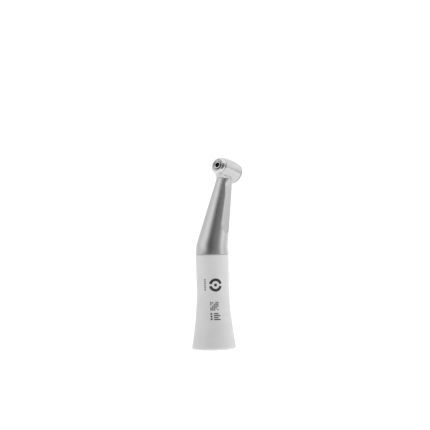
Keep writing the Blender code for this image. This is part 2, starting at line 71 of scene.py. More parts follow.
# Sizes of the visible shells, in millimetres
WAIST_R = 7.36
FLARE_TOP = 27.0
FLARE_GROWTH = 2.9
FLARE_POWER = 1.7
SLEEVE_TOP = 43.1
REAR_CORNER = 1.0
COLLAR_R = 7.5
BEND_R = 7.15
NECK_TAPER = 0.109
SHEATH_WALL = 0.45
SHEATH_TOP = 32.0
FLANK_HALF_ANGLE = 29.5
FLANK_FLARE = 17.0
FLANK_FLARE_FROM = 24.0
FLANK_ROUND_Z = 10.0
HEAD_FRONT = -5.45
HEAD_REAR = 5.2
HEAD_FRONT_R = 3.95
HEAD_REAR_R = 5.0
HEAD_SHOULDERS = ((5.0, 1.0), (4.66, -2.0), (4.2, -4.8))
NOSE_FACE = -6.8
NOSE_R = 3.9
NOSE_FACE_R = 2.85
BUTTON_APEX = 7.5
BUR_BORE_R = 1.2
SOCKET_R = 6.35
SEAM = 0.08
FINE_STEPS = 128


# ---------------------------------------------------------------- mesh helpers


def new_piece(name, mesh, place=HANDLE):
    obj = bpy.data.objects.new(name, mesh)
    obj.matrix_world = place
    bpy.context.scene.collection.objects.link(obj)
    return obj


def mesh_from(shape, name):
    bmesh.ops.recalc_face_normals(shape, faces=shape.faces)
    mesh = bpy.data.meshes.new(name)
    shape.to_mesh(mesh)
    shape.free()
    return mesh


def rounded(outline, radius, pieces=4):
    """The closed outline with each corner rounded, by no more than its shorter side allows."""
    side_share = 0.45
    nearly_straight = math.radians(170)
    made = []
    count = len(outline)
    for i in range(count):
        corner = Vector(outline[i])
        before = Vector(outline[i - 1]) - corner
        after = Vector(outline[(i + 1) % count]) - corner
        turn = before.angle(after)
        reach = radius / math.tan(turn / 2) if turn > 0.01 else 0.0
        reach = min(reach, side_share * before.length, side_share * after.length)
        on_axis = outline[i][0] == 0.0
        if on_axis or turn > nearly_straight:
            made.append(tuple(corner))
            continue
        start = corner + before.normalized() * reach
        end = corner + after.normalized() * reach
        for step in range(pieces + 1):
            t = step / pieces
            point = start * (1 - t) ** 2 + corner * 2 * t * (1 - t) + end * t**2
            made.append(tuple(point))
    return made


def bridge(shape, first, second):
    """Faces between two rings of points. A ring of one point is a pole."""
    count = max(len(first), len(second))
    for i in range(count):
        j = (i + 1) % count
        if len(first) == 1:
            shape.faces.new((first[0], second[j], second[i]))
        elif len(second) == 1:
            shape.faces.new((first[i], first[j], second[0]))
        else:
            shape.faces.new((first[i], first[j], second[j], second[i]))


def turned(name, outline, place=HANDLE, steps=FINE_STEPS):
    """A closed turned piece from an outline of (radius, height) points in millimetres."""
    shape = bmesh.new()
    rings = []
    for radius, height in outline:
        if radius == 0.0:
            rings.append([shape.verts.new((0.0, 0.0, height * MM))])
            continue
        ring = []
        for step in range(steps):
            angle = 2 * math.pi * step / steps
            x = radius * math.cos(angle)
            y = radius * math.sin(angle)
            ring.append(shape.verts.new((x * MM, y * MM, height * MM)))
        rings.append(ring)
    for first, second in zip(rings, rings[1:]):
        bridge(shape, first, second)
    if outline[0][0] > 0.0:
        bridge(shape, rings[-1], rings[0])
    return new_piece(name, mesh_from(shape, name), place)


def smooth(obj, angle=32.0):
    """Smooth shading, with a sharp edge wherever faces meet at more than the angle in degrees."""
    obj.data.shade_smooth()
    obj.data.set_sharp_from_angle(angle=math.radians(angle))
    return obj


def combine(obj, operation, other):
    modifier = obj.modifiers.new(operation.title(), "BOOLEAN")
    modifier.operation = operation
    modifier.object = other
    modifier.solver = "EXACT"


def apply_modifiers(obj, *helpers):
    """The evaluated shape becomes the object's own mesh, and the helper objects go."""
    bpy.context.view_layer.update()
    graph = bpy.context.evaluated_depsgraph_get()
    mesh = bpy.data.meshes.new_from_object(obj.evaluated_get(graph))
    obj.modifiers.clear()
    obj.data = mesh
    for helper in helpers:
        bpy.data.objects.remove(helper)
    return obj


def prism(name, outline, half_depth, place):
    """A flat outline of (x, y) points in millimetres, thickened to both sides of its plane."""
    shape = bmesh.new()
    near = [shape.verts.new((x * MM, y * MM, -half_depth * MM)) for x, y in outline]
    far = [shape.verts.new((x * MM, y * MM, half_depth * MM)) for x, y in outline]
    shape.faces.new(near)
    shape.faces.new(far)
    bridge(shape, near, far)
    return new_piece(name, mesh_from(shape, name), place)


def arc(centre, radius, start, end, pieces):
    """Points on a circle from one angle to another, in degrees."""
    points = []
    for i in range(pieces + 1):
        angle = math.radians(start + (end - start) * i / pieces)
        points.append((centre[0] + radius * math.cos(angle), centre[1] + radius * math.sin(angle)))
    return points


# ---------------------------------------------------------------- materials


def principled(name, colour, roughness, metallic):
    """A new material: (material, its node tree, its Principled shader)."""
    material = bpy.data.materials.new(name)
    material.use_nodes = True
    tree = material.node_tree
    shader = tree.nodes["Principled BSDF"]
    shader.inputs["Base Color"].default_value = (*colour, 1.0)
    shader.inputs["Roughness"].default_value = roughness
    shader.inputs["Metallic"].default_value = metallic
    return material, tree, shader


def object_position(tree, stretch, turn=(0.0, 0.0, 0.0), centre=(0.0, 0.0, 0.0)):
    """Object coordinates in millimetres, turned into a piece's own axis and stretched."""
    source = tree.nodes.new("ShaderNodeTexCoord")
    move = tree.nodes.new("ShaderNodeMapping")
    move.vector_type = "TEXTURE"
    move.inputs["Location"].default_value = centre
    move.inputs["Rotation"].default_value = turn
    scale = tree.nodes.new("ShaderNodeVectorMath")
    scale.operation = "MULTIPLY"
    scale.inputs[1].default_value = [value / MM for value in stretch]
    tree.links.new(source.outputs["Object"], move.inputs["Vector"])
    tree.links.new(move.outputs["Vector"], scale.inputs[0])
    return scale.outputs["Vector"]


def noise(tree, position, detail=3.0, roughness=0.55):
    made = tree.nodes.new("ShaderNodeTexNoise")
    made.inputs["Scale"].default_value = 1.0
    made.inputs["Detail"].default_value = detail
    made.inputs["Roughness"].default_value = roughness
    tree.links.new(position, made.inputs["Vector"])
    return made.outputs["Fac"]


def ramp(tree, value, low, high, low_at=0.3, high_at=0.7):
    """Maps the value onto a range: low at low_at, high at high_at."""
    made = tree.nodes.new("ShaderNodeMapRange")
    made.inputs["From Min"].default_value = low_at
    made.inputs["From Max"].default_value = high_at
    made.inputs["To Min"].default_value = low
    made.inputs["To Max"].default_value = high
    tree.links.new(value, made.inputs["Value"])
    return made.outputs["Result"]


def vary_colour(tree, shader, value, first, second):
    """The shader's colour goes from first to second as the value goes from 0 to 1."""
    mix = tree.nodes.new("ShaderNodeMix")
    mix.data_type = "RGBA"
    mix.inputs["A"].default_value = (*first, 1.0)
    mix.inputs["B"].default_value = (*second, 1.0)
    tree.links.new(value, mix.inputs["Factor"])
    tree.links.new(mix.outputs["Result"], shader.inputs["Base Color"])


def add_bump(tree, shader, height, distance_mm):
    bump = tree.nodes.new("ShaderNodeBump")
    bump.inputs["Strength"].default_value = 1.0
    bump.inputs["Distance"].default_value = distance_mm * MM
    tree.links.new(height, bump.inputs["Height"])
    tree.links.new(bump.outputs["Normal"], shader.inputs["Normal"])


def turned_metal(name, dark, light, roughness, groove_mm, turn=0.0, centre=(0, 0, 0), spread=0.08):
    """Metal with fine turning marks round an axis: turn is the axis's lean about Y."""
    material, tree, shader = principled(name, light, roughness, 1.0)
    placing = {"turn": (0.0, turn, 0.0), "centre": centre}
    marks = object_position(tree, (0.35, 0.35, 14.0), **placing)
    lines = noise(tree, marks, detail=4.0, roughness=0.6)
    cloud = noise(tree, object_position(tree, (0.25, 0.25, 0.25), **placing))
    vary_colour(tree, shader, ramp(tree, cloud, 0.0, 1.0), dark, light)
    rough = ramp(tree, lines, roughness - spread, roughness + spread)
    tree.links.new(rough, shader.inputs["Roughness"])
    add_bump(tree, shader, lines, groove_mm)
    shader.inputs["Anisotropic"].default_value = 0.35
    return material


def blasted_metal(name, dark, light, roughness, metallic, grain_mm):
    """Bead-blasted or satin-plated metal: an even fine grain and faint clouds of tone."""
    material, tree, shader = principled(name, light, roughness, metallic)
    grain = noise(tree, object_position(tree, (9.0, 9.0, 9.0)), detail=2.0)
    cloud = noise(tree, object_position(tree, (0.22, 0.22, 0.22)))
    vary_colour(tree, shader, ramp(tree, cloud, 0.0, 1.0), dark, light)
    tree.links.new(ramp(tree, grain, roughness - 0.05, roughness + 0.05), shader.inputs["Roughness"])
    add_bump(tree, shader, grain, grain_mm)
    return material


def moulded_plastic(name, dark, light, roughness, grain_mm):
    """A white moulded grip: a faint grain, and small changes of tone and gloss."""
    material, tree, shader = principled(name, light, roughness, 0.0)
    grain = noise(tree, object_position(tree, (6.0, 6.0, 6.0)))
    cloud = noise(tree, object_position(tree, (0.12, 0.12, 0.12)))
    vary_colour(tree, shader, ramp(tree, cloud, 0.0, 1.0), dark, light)
    tree.links.new(ramp(tree, cloud, roughness - 0.05, roughness + 0.05), shader.inputs["Roughness"])
    add_bump(tree, shader, grain, grain_mm)
    shader.inputs["Subsurface Weight"].default_value = 0.0
    shader.inputs["Coat Weight"].default_value = 0.5
    shader.inputs["Coat Roughness"].default_value = 0.35
    return material


def grey(value, warm=0.0):
    return (value + warm, value, value - warm)


NECK_PLACE = {"turn": BEND_ANGLE, "centre": tuple(BEND_POINT)}
SLOTS = {
    "white_grip": moulded_plastic("white_grip_look", grey(0.66), grey(0.70), 0.42, 0.004),
    "satin_head": blasted_metal("satin_head_look", grey(0.55), grey(0.57), 0.22, 0.9, 0.002),
    "brushed_neck": turned_metal(
        "brushed_neck_look", grey(0.60), grey(0.62), 0.18, 0.001, **NECK_PLACE, spread=0.04
    ),
    "dark_steel": turned_metal("dark_steel_look", grey(0.40), grey(0.46), 0.32, 0.001),
    "bright_steel": turned_metal("bright_steel_look", grey(0.66), grey(0.74), 0.20, 0.001),
    "gear_steel": turned_metal(
        "gear_steel_look", grey(0.42, 0.01), grey(0.52, 0.01), 0.34, 0.002
    ),
    "bronze": turned_metal("bronze_look", (0.52, 0.33, 0.15), (0.66, 0.45, 0.22), 0.38, 0.002),
    "body_alloy": turned_metal("body_alloy_look", grey(0.52), grey(0.60), 0.36, 0.002),
}
POLISHED_CONE = turned_metal("polished_cone_look", grey(0.62), grey(0.66), 0.16, 0.0005)


def ink(name, tone):
    """Printed marking ink: nearly flat, with slightly uneven cover."""
    material, tree, shader = principled(name, grey(tone), 0.5, 0.0)
    cover = noise(tree, object_position(tree, (3.0, 3.0, 3.0)))
    vary_colour(tree, shader, ramp(tree, cover, 0.0, 1.0), grey(tone), grey(tone + 0.02))
    add_bump(tree, shader, cover, 0.002)
    return material


INK = ink("marking_ink_look", 0.012)
PALE_INK = ink("pale_marking_ink_look", 0.16)


def finish_piece(obj, material, slot, body, *nodes):
    """Gives the piece its material, sets it on its body and lets it stand for nodes. The slot is not used."""
    obj.data.materials.clear()
    obj.data.materials.append(material)
    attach(obj, body)
    if nodes:
        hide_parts(*nodes)
    return obj


# ---------------------------------------------------------------- grip sleeve and its marks


def sleeve_radius(height):
    """The grip's outer radius: straight above the flare, and growing faster towards the rear."""
    flare = max(0.0, (FLARE_TOP - height) / FLARE_TOP)
    return WAIST_R + FLARE_GROWTH * flare**FLARE_POWER


def make_grip_sleeve():
    """The sleeve: a rounded lip, a slightly waisted grip, the flare and a round rear edge."""
    lip_r = COLLAR_R - 0.08
    lip_round = 0.25
    outside = arc((lip_r - lip_round, SLEEVE_TOP - lip_round), lip_round, 90.0, 0.0, 5)
    grip_steps = 8
    waist_in = 0.1
    grip_from = SLEEVE_TOP - 0.4
    grip_pitch = 2.0
    for step in range(grip_steps):
        outside.append((lip_r - waist_in * step / grip_steps, grip_from - grip_pitch * step))
    flare_steps = 26
    rise = FLARE_TOP - REAR_CORNER
    for step in range(flare_steps + 1):
        height = FLARE_TOP - rise * step / flare_steps
        outside.append((sleeve_radius(height), height))
    corner_r = sleeve_radius(REAR_CORNER) - REAR_CORNER
    outside += arc((corner_r, REAR_CORNER), REAR_CORNER, -12.0, -90.0, 8)
    socket_room = SOCKET_R + 0.7
    body_room = 6.75
    body_room_to = 41.2
    seat_r = 6.3
    inside = [
        (SOCKET_R + 1.7, 0.0),
        (SOCKET_R + 1.45, 0.12),
        (SOCKET_R + 0.72, 0.82),
        (socket_room, 1.0),
        (socket_room, 23.6),
        (body_room, 23.9),
        (body_room, body_room_to),
        (seat_r, body_room_to + 0.3),
        (seat_r, SLEEVE_TOP),
    ]
    sleeve = smooth(turned("grip_sleeve_shell", outside + inside))
    finish_piece(sleeve, SLOTS["white_grip"], "white_grip", "housing", "grip_sleeve")


def wrap_on_sleeve(name, pieces, facing, material):
    """Thin printed shapes laid on the sleeve. Each is a closed outline of (across, height)."""
    proud = 0.012
    longest = 0.6
    shape = bmesh.new()
    for outline in pieces:
        rim = [shape.verts.new((x, z, 0.0)) for x, z in outline]
        shape.faces.new(rim)
    bmesh.ops.remove_doubles(shape, verts=shape.verts, dist=0.001)
    bmesh.ops.triangulate(shape, faces=shape.faces)
    for _ in range(3):
        long_edges = [edge for edge in shape.edges if edge.calc_length() > longest]
        bmesh.ops.subdivide_edges(shape, edges=long_edges, cuts=1)
        bmesh.ops.triangulate(shape, faces=shape.faces)
    for vert in shape.verts:
        across, height = vert.co.x, vert.co.y
        radius = sleeve_radius(height) + proud
        angle = facing + across / radius
        vert.co = Vector((radius * math.cos(angle), radius * math.sin(angle), height)) * MM
    mark = new_piece(name, mesh_from(shape, name))
    thick = mark.modifiers.new("Solidify", "SOLIDIFY")
    thick.thickness = 0.5 * proud * MM
    apply_modifiers(mark)
    mark.data.shade_smooth()
    finish_piece(mark, material, "white_grip", "housing")


def ring_strip(centre, inner, outer, start, end):
    """A curved bar as a row of small four-sided outlines that share their edges."""
    pieces = 16
    inside = arc(centre, inner, start, end, pieces)
    outside = arc(centre, outer, start, end, pieces)
    return [[outside[i], outside[i + 1], inside[i + 1], inside[i]] for i in range(pieces)]


def box_mark(left, low, width, height):
    """A four-sided outline on the sleeve."""
    return [(left, low), (left + width, low), (left + width, low + height), (left, low + height)]


MARK_FACING = math.radians(-127.0)
EMBLEM_X = -0.6
EMBLEM_Z = 29.45
LEFT_COLUMN = -3.35


def make_emblem():
    """A ring in two halves round a small square, with a dashed rule beside it."""
    inner = 1.75
    outer = 3.0
    gap = 12.0
    square = 1.2
    centre = (EMBLEM_X, EMBLEM_Z)
    emblem = ring_strip(centre, inner, outer, gap, 180.0 - gap)
    emblem += ring_strip(centre, inner, outer, 180.0 + gap, 360.0 - gap)
    emblem.append(box_mark(EMBLEM_X - square / 2, EMBLEM_Z - square / 2, square, square))
    wrap_on_sleeve("emblem_mark", emblem, MARK_FACING, INK)
    rule_low = EMBLEM_Z - 2.35
    rule = [box_mark(-5.9, rule_low + 0.9 * i, 0.75, 0.62) for i in range(6)]
    wrap_on_sleeve("dashed_rule_mark", rule, MARK_FACING, PALE_INK)


def make_grid():
    """A block of small squares with some left out by a simple rule."""
    count = 5
    cell = 0.66
    pitch = 0.8
    grid_low = 18.0
    cells = []
    for row in range(count):
        for column in range(count):
            if (row * 3 + column * 2) % count != 1:
                left = LEFT_COLUMN + pitch * column
                cells.append(box_mark(left, grid_low + pitch * row, cell, cell))
    wrap_on_sleeve("grid_mark", cells, MARK_FACING, PALE_INK)


def make_bars():
    """Four bars of two lengths, and three short ones in a column beside them."""
    bars_low = 13.7
    lengths = (3.0, 2.1, 3.0, 2.1)
    bars = [box_mark(-1.85, bars_low + 0.88 * i, length, 0.5) for i, length in enumerate(lengths)]
    bars += [box_mark(LEFT_COLUMN, bars_low + 0.1 + 1.15 * i, 0.85, 0.75) for i in range(3)]
    wrap_on_sleeve("bar_group_mark", bars, MARK_FACING, INK)


def make_marks():
    make_emblem()
    make_grid()
    make_bars()


# ---------------------------------------------------------------- neck sheath and head


def neck_radius(height):
    """The sheath's outer radius at a height above the bend."""
    return BEND_R - NECK_TAPER * height


def core_radius(height):
    """The radius of what the sheath fits over."""
    return neck_radius(height) - SHEATH_WALL - SEAM


def flank_half_width(height):
    """Half the side window's width: a constant angle of the neck, which opens near the head."""
    flare = max(0.0, (height - FLANK_FLARE_FROM) / (SHEATH_TOP - FLANK_FLARE_FROM))
    angle = math.radians(FLANK_HALF_ANGLE + FLANK_FLARE * flare)
    return math.sin(angle) * neck_radius(height)


def flank_outline(inset):
    """The side window seen from the side: a round end low on the neck, and open at the top."""
    round_r = flank_half_width(FLANK_ROUND_Z) - inset
    flare_steps = 12
    rise = SHEATH_TOP - FLANK_FLARE_FROM
    heights = [FLANK_FLARE_FROM + rise * i / flare_steps for i in range(flare_steps + 1)]
    heights.append(SHEATH_TOP + 1.5)
    edge = [(flank_half_width(min(z, SHEATH_TOP)) - inset, z) for z in heights]
    outline = arc((0.0, FLANK_ROUND_Z), round_r, 180.0, 360.0, 40)
    return outline + edge + [(-x, z) for x, z in reversed(edge)]


FLANK_FRAME = NECK @ Matrix.Rotation(math.pi / 2, 4, "X")  # seen from the side, up the neck is +Y
FLANK_CUT_DEPTH = 12.0


def lofted(name, sections, cap=True):
    """A closed skin over rings of points, which all have the same count."""
    shape = bmesh.new()
    rings = [[shape.verts.new(point) for point in ring] for ring in sections]
    for first, second in zip(rings, rings[1:]):
        bridge(shape, first, second)
    if cap:
        shape.faces.new(rings[0])
        shape.faces.new(rings[-1])
    else:
        bridge(shape, rings[-1], rings[0])
    return new_piece(name, mesh_from(shape, name))


def joined(name, solids):
    """One object from several overlapping solids, in the row frame. The solids go."""
    shape = bmesh.new()
    for solid in solids:
        solid.data.transform(solid.matrix_world)
        shape.from_mesh(solid.data)
        bpy.data.objects.remove(solid)
    return new_piece(name, mesh_from(shape, name))


def circle(place, radius, across=1.0):
    """A ring of points in the place's own XY plane, stretched along its X."""
    points = []
    for step in range(FINE_STEPS):
        angle = 2 * math.pi * step / FINE_STEPS
        x = radius * across * math.cos(angle)
        y = radius * math.sin(angle)
        points.append(place @ Vector((x * MM, y * MM, 0.0)))
    return points


def raised(axis, height):
    """A frame at a height in millimetres up one of the axes."""
    return axis @ Matrix.Translation((0, 0, height * MM))


def sheath_skin(inset):
    """Rings of the bent sheath from its collar to its top, inset from its outer face."""
    rings = []
    low = SLEEVE_TOP + SEAM
    chamfer = 0.12
    if inset == 0.0:
        rings.append(circle(raised(HANDLE, low), COLLAR_R - chamfer))
        low += chamfer
    rings.append(circle(raised(HANDLE, low), COLLAR_R - inset))
    mitre = Matrix.Translation(BEND_POINT) @ Matrix.Rotation(BEND_ANGLE / 2, 4, "Y")
    mitre_stretch = 1.0 / math.cos(BEND_ANGLE / 2)
    rings.append(circle(mitre, BEND_R - inset, mitre_stretch))
    for height in (2.6, 6.0, 10.0, 14.0, 18.0, 22.0, 26.0, 29.0, SHEATH_TOP - chamfer):
        rings.append(circle(raised(NECK, height), neck_radius(height) - inset))
    rings.append(circle(raised(NECK, SHEATH_TOP), neck_radius(SHEATH_TOP) - max(inset, chamfer)))
    return rings


def make_neck_sheath():
    outer = sheath_skin(0.0)
    inner = sheath_skin(SHEATH_WALL)
    sheath = lofted("neck_sheath_shell", outer + inner[::-1], cap=False)
    window = prism("window_cutter", flank_outline(0.0), FLANK_CUT_DEPTH, FLANK_FRAME)
    combine(sheath, "DIFFERENCE", window)
    apply_modifiers(sheath, window)
    smooth(sheath, 28.0)
    finish_piece(sheath, SLOTS["brushed_neck"], "brushed_neck", "housing", "neck_sheath")


HEAD_STEP = SHEATH_TOP + SEAM  # where the head's skin steps in to go under the sheath


def make_barrel():
    corner = 0.03
    shell = [
        (0.0, HEAD_REAR),
        (HEAD_REAR_R - corner, HEAD_REAR),
        (HEAD_REAR_R, HEAD_REAR - corner),
        *HEAD_SHOULDERS,
        (HEAD_FRONT_R, HEAD_FRONT),
        (0.0, HEAD_FRONT),
    ]
    return turned("head_barrel", shell, HEAD)


def make_neck_stub():
    low = HEAD_STEP - 1.2
    stub = [
        (0.0, HEAD_RISE),
        (neck_radius(SHEATH_TOP), HEAD_RISE),
        (neck_radius(SHEATH_TOP), HEAD_STEP),
        (core_radius(HEAD_STEP), HEAD_STEP),
        (core_radius(HEAD_STEP), low),
        (0.0, low),
    ]
    return turned("neck_stub", stub, NECK)


def make_throat():
    """The swelling under the head, which leans forward to meet the barrel."""
    # height up the neck, forward shift, half length and half width of each oval
    ovals = [
        (32.3, 0.0, 3.6, 3.6),
        (32.8, 0.45, 4.05, 3.6),
        (33.4, 0.85, 4.5, 3.3),
        (34.0, 0.95, 4.45, 2.7),
    ]
    sections = []
    for height, forward, half_length, half_width in ovals:
        place = NECK @ Matrix.Translation((-forward * MM, 0.0, height * MM))
        sections.append(circle(place, half_width, half_length / half_width))
    return lofted("throat", sections)


def make_tongues():
    """The two side flanks, which fill the sheath's windows."""
    low = 6.2
    high = HEAD_STEP + 0.4
    depth = 0.4
    flanks = [
        (neck_radius(high), high),
        (neck_radius(low), low),
        (core_radius(low) - depth, low),
        (core_radius(high) - depth, high),
    ]
    tongues = turned("tongues", flanks, NECK)
    outline = prism("tongue_outline", flank_outline(SEAM), FLANK_CUT_DEPTH, FLANK_FRAME)
    combine(tongues, "INTERSECT", outline)
    return apply_modifiers(tongues, outline)


def head_blank():
    """The head's outside as one rough solid."""
    solids = [make_barrel(), make_neck_stub(), make_throat(), make_tongues()]
    return joined("head_shell", solids)


def flatten_tongues(head):
    """Shades the side tongues as the nearly flat faces that they are, up to where they merge."""
    to_neck = NECK.inverted() @ head.matrix_world
    flatness = 0.9
    fade_from = 28.5
    fade_to = 31.8
    skin = 0.2
    least_outward = 0.7
    mesh = head.data
    normals = [Vector(corner.vector) for corner in mesh.corner_normals]
    for loop in mesh.loops:
        point = to_neck @ mesh.vertices[loop.vertex_index].co / MM
        radial = Vector((point.x, point.y, 0.0))
        outward = (to_neck.to_3x3() @ normals[loop.index]).dot(radial.normalized())
        inside = radial.length < core_radius(point.z) + skin
        if point.z > fade_to or outward < least_outward or inside:
            continue
        share = flatness * min(1.0, (fade_to - point.z) / (fade_to - fade_from))
        side = NECK.to_3x3() @ Vector((0.0, math.copysign(1.0, point.y), NECK_TAPER))
        normals[loop.index] = normals[loop.index].lerp(side, share).normalized()
    mesh.normals_split_custom_set(normals)


def head_bore():
    """The room for the chuck: wide at the cap, then the gear room, then the front bearing's seat."""
    past = 1.0
    cap_seat_r = 3.72
    gear_room_r = 3.45
    bearing_seat_r = 3.23
    cap_seat_to = 2.9
    gear_room_to = -3.1
    outline = [
        (0.0, HEAD_REAR + past),
        (cap_seat_r, HEAD_REAR + past),
        (cap_seat_r, cap_seat_to),
        (gear_room_r, cap_seat_to),
        (gear_room_r, gear_room_to),
        (bearing_seat_r, gear_room_to),
        (bearing_seat_r, HEAD_FRONT - past),
        (0.0, HEAD_FRONT - past),
    ]
    return turned("head_bore", outline, HEAD)


def neck_bore():
    """The room for the neck shaft, from inside the neck to the middle of the head."""
    radius = 2.8
    low = 25.0
    outline = [(0.0, HEAD_RISE), (radius, HEAD_RISE), (radius, low), (0.0, low)]
    return turned("neck_bore", outline, NECK)


def make_head():
    """The head with softened joins between its parts, then bored out."""
    voxel = 0.16
    head = head_blank()
    remesh = head.modifiers.new("Remesh", "REMESH")
    remesh.mode = "VOXEL"
    remesh.voxel_size = voxel * MM
    ease = head.modifiers.new("Smooth", "SMOOTH")
    ease.factor = 0.5
    ease.iterations = 6
    apply_modifiers(head)
    cutters = [head_bore(), neck_bore()]
    for cutter in cutters:
        combine(head, "DIFFERENCE", cutter)
    apply_modifiers(head, *cutters)
    smooth(head, 40.0)
    flatten_tongues(head)
    finish_piece(head, SLOTS["satin_head"], "satin_head", "housing", "head_housing")


def make_neck_tube():
    """The head's inner neck tube, which the sheath covers."""
    low = 2.9
    high = SHEATH_TOP - 1.3
    low_bore_r = 4.9
    high_bore_r = 2.85
    tube = [
        (core_radius(high), high),
        (core_radius(low), low),
        (low_bore_r, low),
        (low_bore_r, 9.0),
        (high_bore_r, 26.0),
        (high_bore_r, high),
    ]
    obj = smooth(turned("head_neck_tube", tube, NECK, 96))
    finish_piece(obj, SLOTS["satin_head"], "satin_head", "housing")


# ---------------------------------------------------------------- small visible pieces


NOSE_HOLE_R = 1.75
NOSE_SEAT = NOSE_FACE + 0.4


def make_nose_cone():
    """The polished ring on the head's end, with a seat for the turned face."""
    rim_r = NOSE_FACE_R - 0.14
    back = -5.68
    recess_r = 3.22
    cone = [
        (NOSE_R, HEAD_FRONT - SEAM),
        (NOSE_R - 0.28, NOSE_FACE + 0.6),
        (NOSE_FACE_R, NOSE_FACE),
        (rim_r, NOSE_FACE),
        (rim_r, NOSE_SEAT),
        (NOSE_HOLE_R, NOSE_SEAT),
        (NOSE_HOLE_R, back),
        (recess_r, back),
        (recess_r, HEAD_FRONT - SEAM),
    ]
    obj = smooth(turned("nose_cone_turned", rounded(cone, 0.08), HEAD), 25.0)
    finish_piece(obj, POLISHED_CONE, "dark_steel", "housing", "nose_ring")


def make_nose_face():
    """The turned disc round the spindle, set into the cone."""
    rim_r = NOSE_FACE_R - 0.18
    back = NOSE_SEAT - 0.03
    face = [
        (rim_r, back),
        (rim_r, NOSE_FACE),
        (2.35, NOSE_FACE),
        (NOSE_HOLE_R, NOSE_FACE + 0.35),
        (NOSE_HOLE_R, back),
    ]
    obj = smooth(turned("nose_face_turned", rounded(face, 0.03), HEAD), 25.0)
    finish_piece(obj, SLOTS["dark_steel"], "dark_steel", "housing")


def make_spindle():
    """The chuck's spindle, with the bore that holds the bur."""
    outer_r = 1.55
    tip = NOSE_FACE - 0.2
    rear = 5.3
    rear_bore_r = 0.75
    chamfer = 0.1
    spindle = [
        (outer_r, rear),
        (outer_r, NOSE_FACE - 0.1),
        (outer_r - chamfer, tip),
        (BUR_BORE_R + chamfer, tip),
        (BUR_BORE_R, NOSE_FACE - 0.1),
        (BUR_BORE_R, 4.5),
        (rear_bore_r, 4.6),
        (rear_bore_r, rear),
    ]
    obj = smooth(turned("chuck_spindle_turned", rounded(spindle, 0.04), HEAD, 96), 25.0)
    finish_piece(obj, SLOTS["bright_steel"], "bright_steel", "chuck", "chuck_spindle")


def make_cap():
    """The crowned ring at the rear of the head, which keeps the button in."""
    mouth_r = 3.4
    room_r = 3.85
    cap = [
        (mouth_r, 6.95),
        (3.75, 6.9),
        (4.3, 6.6),
        (4.75, 6.1),
        (4.95, 5.6),
        (HEAD_REAR_R, HEAD_REAR + SEAM),
        (room_r, HEAD_REAR + SEAM),
        (room_r, 6.5),
        (mouth_r, 6.6),
    ]
    obj = smooth(turned("head_cap_turned", rounded(cap, 0.35), HEAD), 25.0)
    finish_piece(obj, SLOTS["satin_head"], "satin_head", "housing", "head_cap")


def make_button():
    """The domed button, with a flange under the cap and a ring groove for its spring."""
    dome_r = 5.4
    dome_base = 3.28
    dome_steps = 16
    flange_r = 3.75
    flange_low = 6.1
    groove_outer = 2.95
    groove_inner = 1.9
    groove_top = 6.45
    plunger_r = 1.35
    plunger_top = 6.95
    dome = [(0.0, BUTTON_APEX)]
    for step in range(1, dome_steps):
        radius = dome_base * step / dome_steps
        dome.append((radius, BUTTON_APEX - radius**2 / (2 * dome_r)))
    edge = BUTTON_APEX - dome_base**2 / (2 * dome_r)
    dome += [(dome_base - 0.02, edge), (dome_base, edge - 0.05)]
    button = dome + [
        (dome_base, 6.42),
        (flange_r, 6.36),
        (flange_r, flange_low),
        (groove_outer, flange_low),
        (groove_outer, groove_top),
        (groove_inner, groove_top),
        (groove_inner, flange_low),
        (plunger_r, flange_low),
        (plunger_r, plunger_top),
        (0.0, plunger_top),
    ]
    obj = smooth(turned("push_button_turned", button, HEAD), 25.0)
    finish_piece(obj, SLOTS["satin_head"], "satin_head", "button", "push_button")


def make_socket():
    """The motor's socket in the rear of the grip: a thin cup with a latch groove."""
    wall = SOCKET_R + 0.62
    mouth = 0.95
    mouth_to = 1.2
    groove_r = SOCKET_R + 0.3
    hole_r = 3.4
    floor = 22.0
    top = 23.0
    outline = [
        (wall, top),
        (wall, mouth_to),
        (wall - 0.25, mouth),
        (SOCKET_R + 0.15, mouth),
        (SOCKET_R, mouth_to),
        (SOCKET_R, 16.5),
        (groove_r, 16.8),
        (groove_r, 17.5),
        (SOCKET_R, 17.8),
        (SOCKET_R, floor),
        (hole_r, floor),
        (hole_r, top),
    ]
    obj = smooth(turned("coupling_socket_turned", rounded(outline, 0.06, 2)), 25.0)
    finish_piece(obj, SLOTS["bright_steel"], "bright_steel", "housing", "coupling_socket")


def coil(name, radius, wire_r, low, high, turns, place):
    """A round wire spring with its wire's centre line between two heights."""
    per_turn = 40
    count = int(turns * per_turn) + 1
    curve = bpy.data.curves.new(name, "CURVE")
    curve.dimensions = "3D"
    curve.bevel_depth = wire_r * MM
    curve.bevel_resolution = 4
    curve.use_fill_caps = True
    spline = curve.splines.new("POLY")
    spline.points.add(count - 1)
    for i, point in enumerate(spline.points):
        angle = 2 * math.pi * i / per_turn
        height = low + (high - low) * i / (count - 1)
        x = radius * math.cos(angle)
        y = radius * math.sin(angle)
        point.co = (x * MM, y * MM, height * MM, 1.0)
    source = new_piece(name + "_wire", curve, place)
    bpy.context.view_layer.update()
    graph = bpy.context.evaluated_depsgraph_get()
    mesh = bpy.data.meshes.new_from_object(source.evaluated_get(graph))
    bpy.data.objects.remove(source)
    shape = bmesh.new()
    shape.from_mesh(mesh)
    bmesh.ops.remove_doubles(shape, verts=shape.verts, dist=1e-7)
    return smooth(new_piece(name, mesh_from(shape, name), place))


